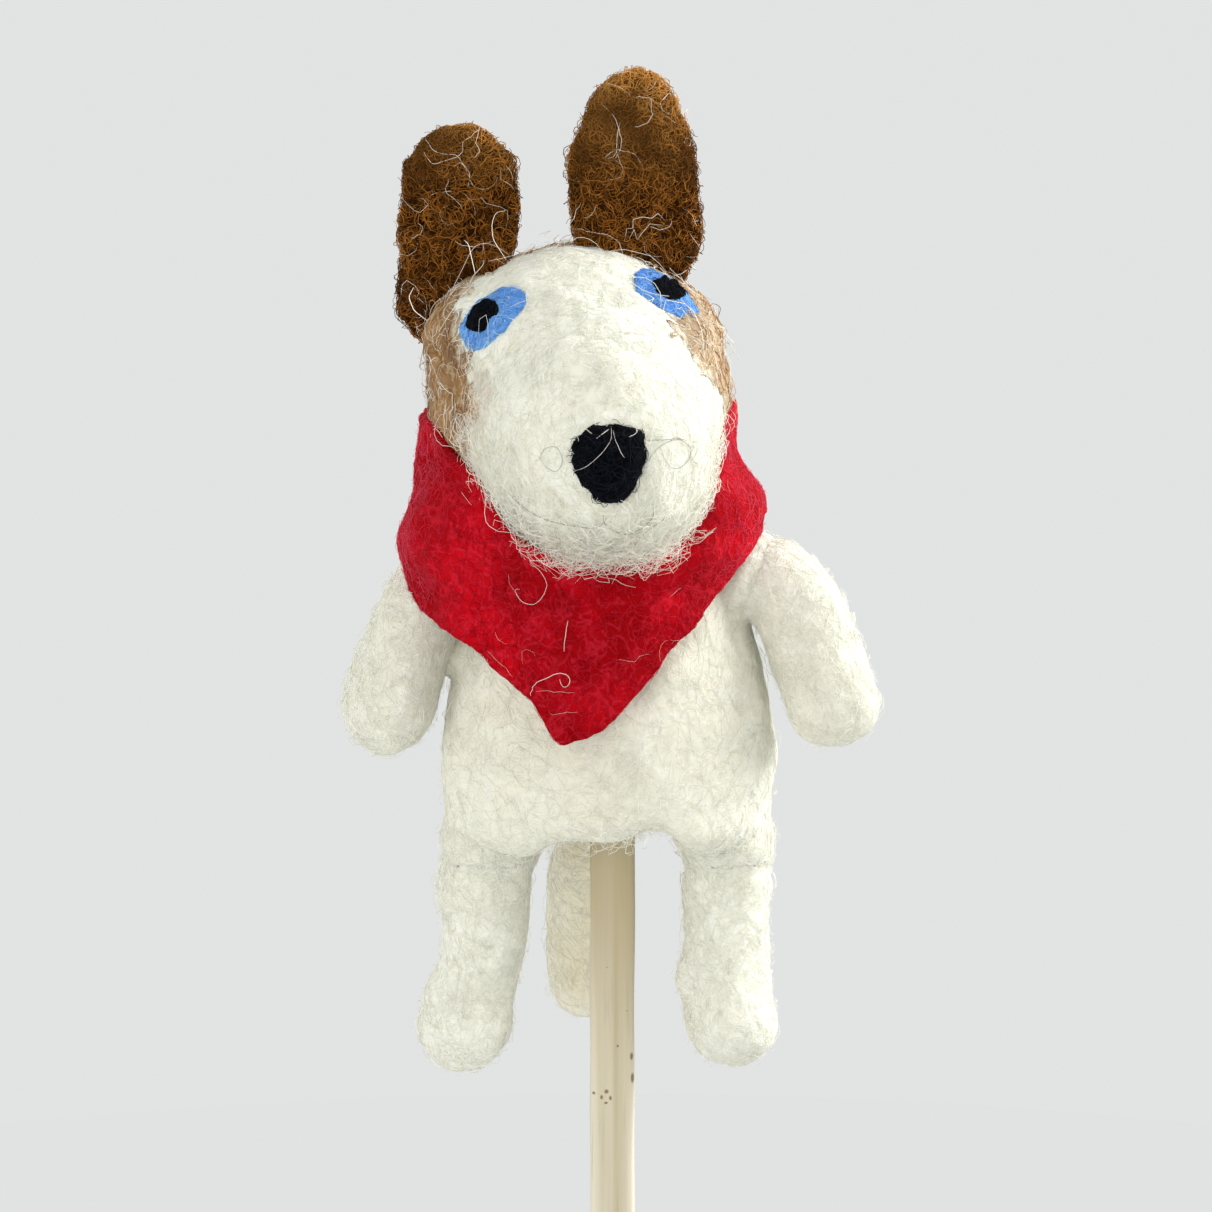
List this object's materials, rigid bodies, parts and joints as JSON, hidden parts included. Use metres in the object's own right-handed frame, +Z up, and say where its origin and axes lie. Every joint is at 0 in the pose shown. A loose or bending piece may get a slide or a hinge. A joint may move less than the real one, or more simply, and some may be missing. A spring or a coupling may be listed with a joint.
{
  "type": "craft stick puppet",
  "caption": "Needle-felted wool dog puppet with a bandana, on a narrow bamboo stick; its head, ears, arms, legs and tail flex and it slides off the stick.",
  "frame": {"origin": "middle of the stick's lower end face", "axes": "+Z up along the stick, the dog faces -Y, and its own left side is +X"},
  "size_m": [0.0536, 0.0532, 0.2329],
  "materials": {
    "bamboo": "sanded bare bamboo",
    "white_wool": "needle-felted off-white wool",
    "tan_wool": "needle-felted tan wool",
    "brown_wool": "needle-felted dark brown wool",
    "blue_wool": "needle-felted blue wool",
    "black_wool": "needle-felted black wool",
    "red_wool": "red wool felt"
  },
  "bodies": {
    "stick": {"stick": "bamboo"},
    "wad": {"stick_wad": "white_wool"},
    "torso": {"torso": "white_wool", "bandana_band": "red_wool"},
    "neck": {"neck": "white_wool"},
    "head": {"head": "white_wool", "head_patch": "tan_wool", "iris_left": "blue_wool", "iris_right": "blue_wool", "pupil_left": "black_wool", "pupil_right": "black_wool", "nose": "black_wool"},
    "ear_left": {"ear_left": "brown_wool"},
    "ear_right": {"ear_right": "brown_wool"},
    "arm_left": {"arm_left": "white_wool"},
    "arm_right": {"arm_right": "white_wool"},
    "leg_left": {"leg_left": "white_wool"},
    "leg_right": {"leg_right": "white_wool"},
    "tail": {"tail": "white_wool"},
    "bandana_flap": {"bandana_point": "red_wool"}
  },
  "joints": [
    {"name": "twirl", "type": "hinge", "parent": "stick", "child": "wad", "pos_m": [0, 0, 0.17], "axis": [0, 0, 1], "continuous": true},
    {"name": "lift_off", "type": "slide", "parent": "wad", "child": "torso", "axis": [0, 0, 1], "range_m": [0, 0.03]},
    {"name": "neck_turn", "type": "hinge", "parent": "torso", "child": "neck", "pos_m": [-0.0015, 0, 0.186], "axis": [0, 0, 1], "range_deg": [-20, 20], "stiffness_Nm_per_rad": 0.02},
    {"name": "head_nod", "type": "hinge", "parent": "neck", "child": "head", "pos_m": [-0.0015, 0, 0.193], "axis": [-1, 0, 0], "range_deg": [-4, 12], "stiffness_Nm_per_rad": 0.05},
    {"name": "ear_left_flex", "type": "hinge", "parent": "head", "child": "ear_left", "pos_m": [0.00293, 0.00093, 0.21297], "axis": [0.8808, 0, -0.4735], "range_deg": [-20, 20], "stiffness_Nm_per_rad": 0.002},
    {"name": "ear_right_flex", "type": "hinge", "parent": "head", "child": "ear_right", "pos_m": [-0.01365, 0.00096, 0.20977], "axis": [0.6416, 0, 0.767], "range_deg": [-20, 20], "stiffness_Nm_per_rad": 0.002},
    {"name": "arm_left_raise", "type": "hinge", "parent": "torso", "child": "arm_left", "pos_m": [0.013, -0.001, 0.1834], "axis": [0, -1, 0], "range_deg": [-3, 45], "stiffness_Nm_per_rad": 0.003},
    {"name": "arm_right_raise", "type": "hinge", "parent": "torso", "child": "arm_right", "pos_m": [-0.0139, -0.001, 0.1825], "axis": [0, 1, 0], "range_deg": [-3, 45], "stiffness_Nm_per_rad": 0.003},
    {"name": "leg_left_swing", "type": "hinge", "parent": "torso", "child": "leg_left", "pos_m": [0.011, -0.0006, 0.1558], "axis": [-1, 0, 0], "range_deg": [-25, 30], "stiffness_Nm_per_rad": 0.003},
    {"name": "leg_right_swing", "type": "hinge", "parent": "torso", "child": "leg_right", "pos_m": [-0.0116, -0.0006, 0.1558], "axis": [-1, 0, 0], "range_deg": [-25, 30], "stiffness_Nm_per_rad": 0.003},
    {"name": "tail_wag", "type": "hinge", "parent": "torso", "child": "tail", "pos_m": [-0.0019, 0.0105, 0.157], "axis": [0, 1, 0], "range_deg": [-20, 20], "stiffness_Nm_per_rad": 0.003},
    {"name": "bandana_flap", "type": "hinge", "parent": "torso", "child": "bandana_flap", "pos_m": [-0.0027, -0.0138, 0.1828], "axis": [-1, 0, 0], "range_deg": [0, 35], "stiffness_Nm_per_rad": 0.0005}
  ]
}
